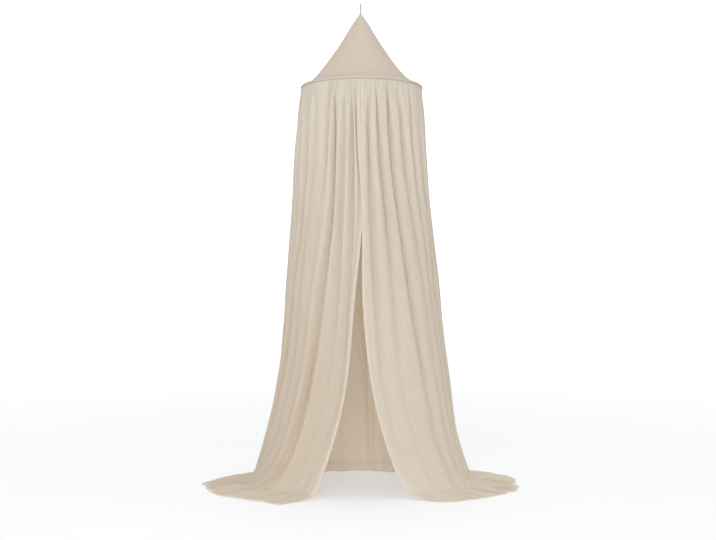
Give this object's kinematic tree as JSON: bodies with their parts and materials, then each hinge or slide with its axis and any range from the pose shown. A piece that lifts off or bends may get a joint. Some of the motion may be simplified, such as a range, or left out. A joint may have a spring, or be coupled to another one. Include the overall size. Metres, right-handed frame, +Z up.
{
  "type": "mosquito net canopy with hoop",
  "caption": "Hanging bed canopy: a woven cone over a round hoop, with gathered muslin panels that fall to the floor and part in front.",
  "frame": {"origin": "inside the top of the hanging loop, where the hook bears", "axes": "+X to the right seen from the front, +Y away from the front, +Z up"},
  "size_m": [1.3068, 0.8533, 1.9963],
  "materials": {
    "muslin": "crinkled open muslin, matt",
    "cone_cloth": "smooth plain weave, matt",
    "hoop": "plain white plastic rod",
    "loop_tape": "off-white woven cotton tape"
  },
  "bodies": {
    "root": {"hang_loop": "loop_tape", "cone": "cone_cloth", "hoop": "hoop", "drape_left": "muslin", "drape_right": "muslin"}
  },
  "joints": []
}
